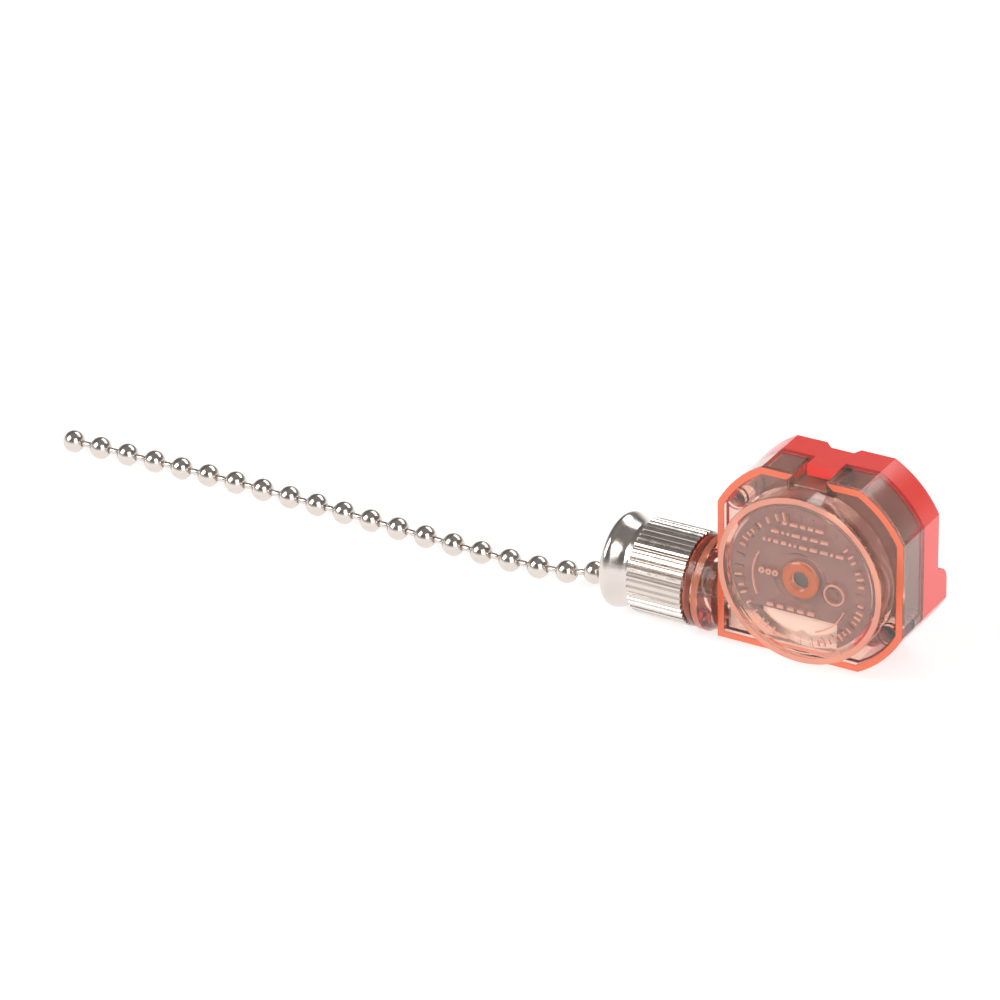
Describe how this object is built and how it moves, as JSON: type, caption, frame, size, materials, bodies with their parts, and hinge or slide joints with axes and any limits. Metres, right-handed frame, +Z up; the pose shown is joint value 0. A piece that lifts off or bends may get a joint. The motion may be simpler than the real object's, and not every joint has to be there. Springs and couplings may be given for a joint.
{
  "type": "pull cord switch",
  "caption": "Rotary pull chain switch: clear casing with a raised drum, rear terminal cover, threaded nozzle with knurled bell nut, and a bead chain.",
  "frame": {"origin": "on the floor, under the middle of the body without its chain", "axes": "-X the way the nozzle points and the chain leaves, -Y the clear face, +Y the terminal block, +Z up"},
  "size_m": [0.1362, 0.016, 0.0278],
  "materials": {
    "clear_amber": "transparent moulded polycarbonate",
    "red_plastic": "glossy moulded",
    "rivet_metal": "satin",
    "insulator": "matt fibre sheet",
    "steel": "ground",
    "blued_steel": "blued",
    "disc_plastic": "matt moulded",
    "copper": "rolled copper",
    "spring_steel": "drawn",
    "nylon": "natural",
    "brass": "rolled",
    "nickel": "polished nickel plate"
  },
  "bodies": {
    "casing": {"front_casing": "clear_amber", "rear_cover": "red_plastic", "assembly_rivets": "rivet_metal", "insulator_plate": "insulator", "axle_pin": "blued_steel", "bearing_plate": "disc_plastic", "detent_leaf": "spring_steel", "clutch_spring": "spring_steel", "return_spring": "spring_steel", "spring_seat": "steel", "arc_shield": "disc_plastic", "slider_guide": "nylon", "terminal_line": "brass", "wire_clip_line": "spring_steel", "terminal_speed_1": "brass", "wire_clip_speed_1": "spring_steel", "terminal_speed_2": "brass", "wire_clip_speed_2": "spring_steel", "terminal_speed_3": "brass", "wire_clip_speed_3": "spring_steel"},
    "nut": {"knurled_nut": "nickel"},
    "pull": {"pull_slider": "nylon", "chain_clasp": "brass", "bead_chain": "nickel"},
    "gear": {"drive_gear": "nylon"},
    "rotor": {"contact_disc": "nylon", "contact_bridge": "copper"}
  },
  "joints": [
    {"name": "pull_slide", "type": "slide", "parent": "casing", "child": "pull", "axis": [-1, 0, 0], "range_m": [0, 0.00471], "stiffness_N_per_m": 400, "springref_m": -0.01, "deforming": ["return_spring"]},
    {"name": "drive_gear_turn", "type": "hinge", "parent": "casing", "child": "gear", "pos_m": [0.00845, -0.00118, 0.0141], "axis": [0, 1, 0], "range_deg": [0, 46]},
    {"name": "rotor_index", "type": "hinge", "parent": "casing", "child": "rotor", "pos_m": [0.00845, -0.00517, 0.0141], "axis": [0, 1, 0], "continuous": true},
    {"name": "nut_turn", "type": "hinge", "parent": "casing", "child": "nut", "pos_m": [-0.01345, -0.00118, 0.00665], "axis": [-1, 0, 0], "continuous": true}
  ],
  "couplings": [
    {"joint": "drive_gear_turn", "follows": "pull_slide", "rad_per_m": 166.67}
  ]
}
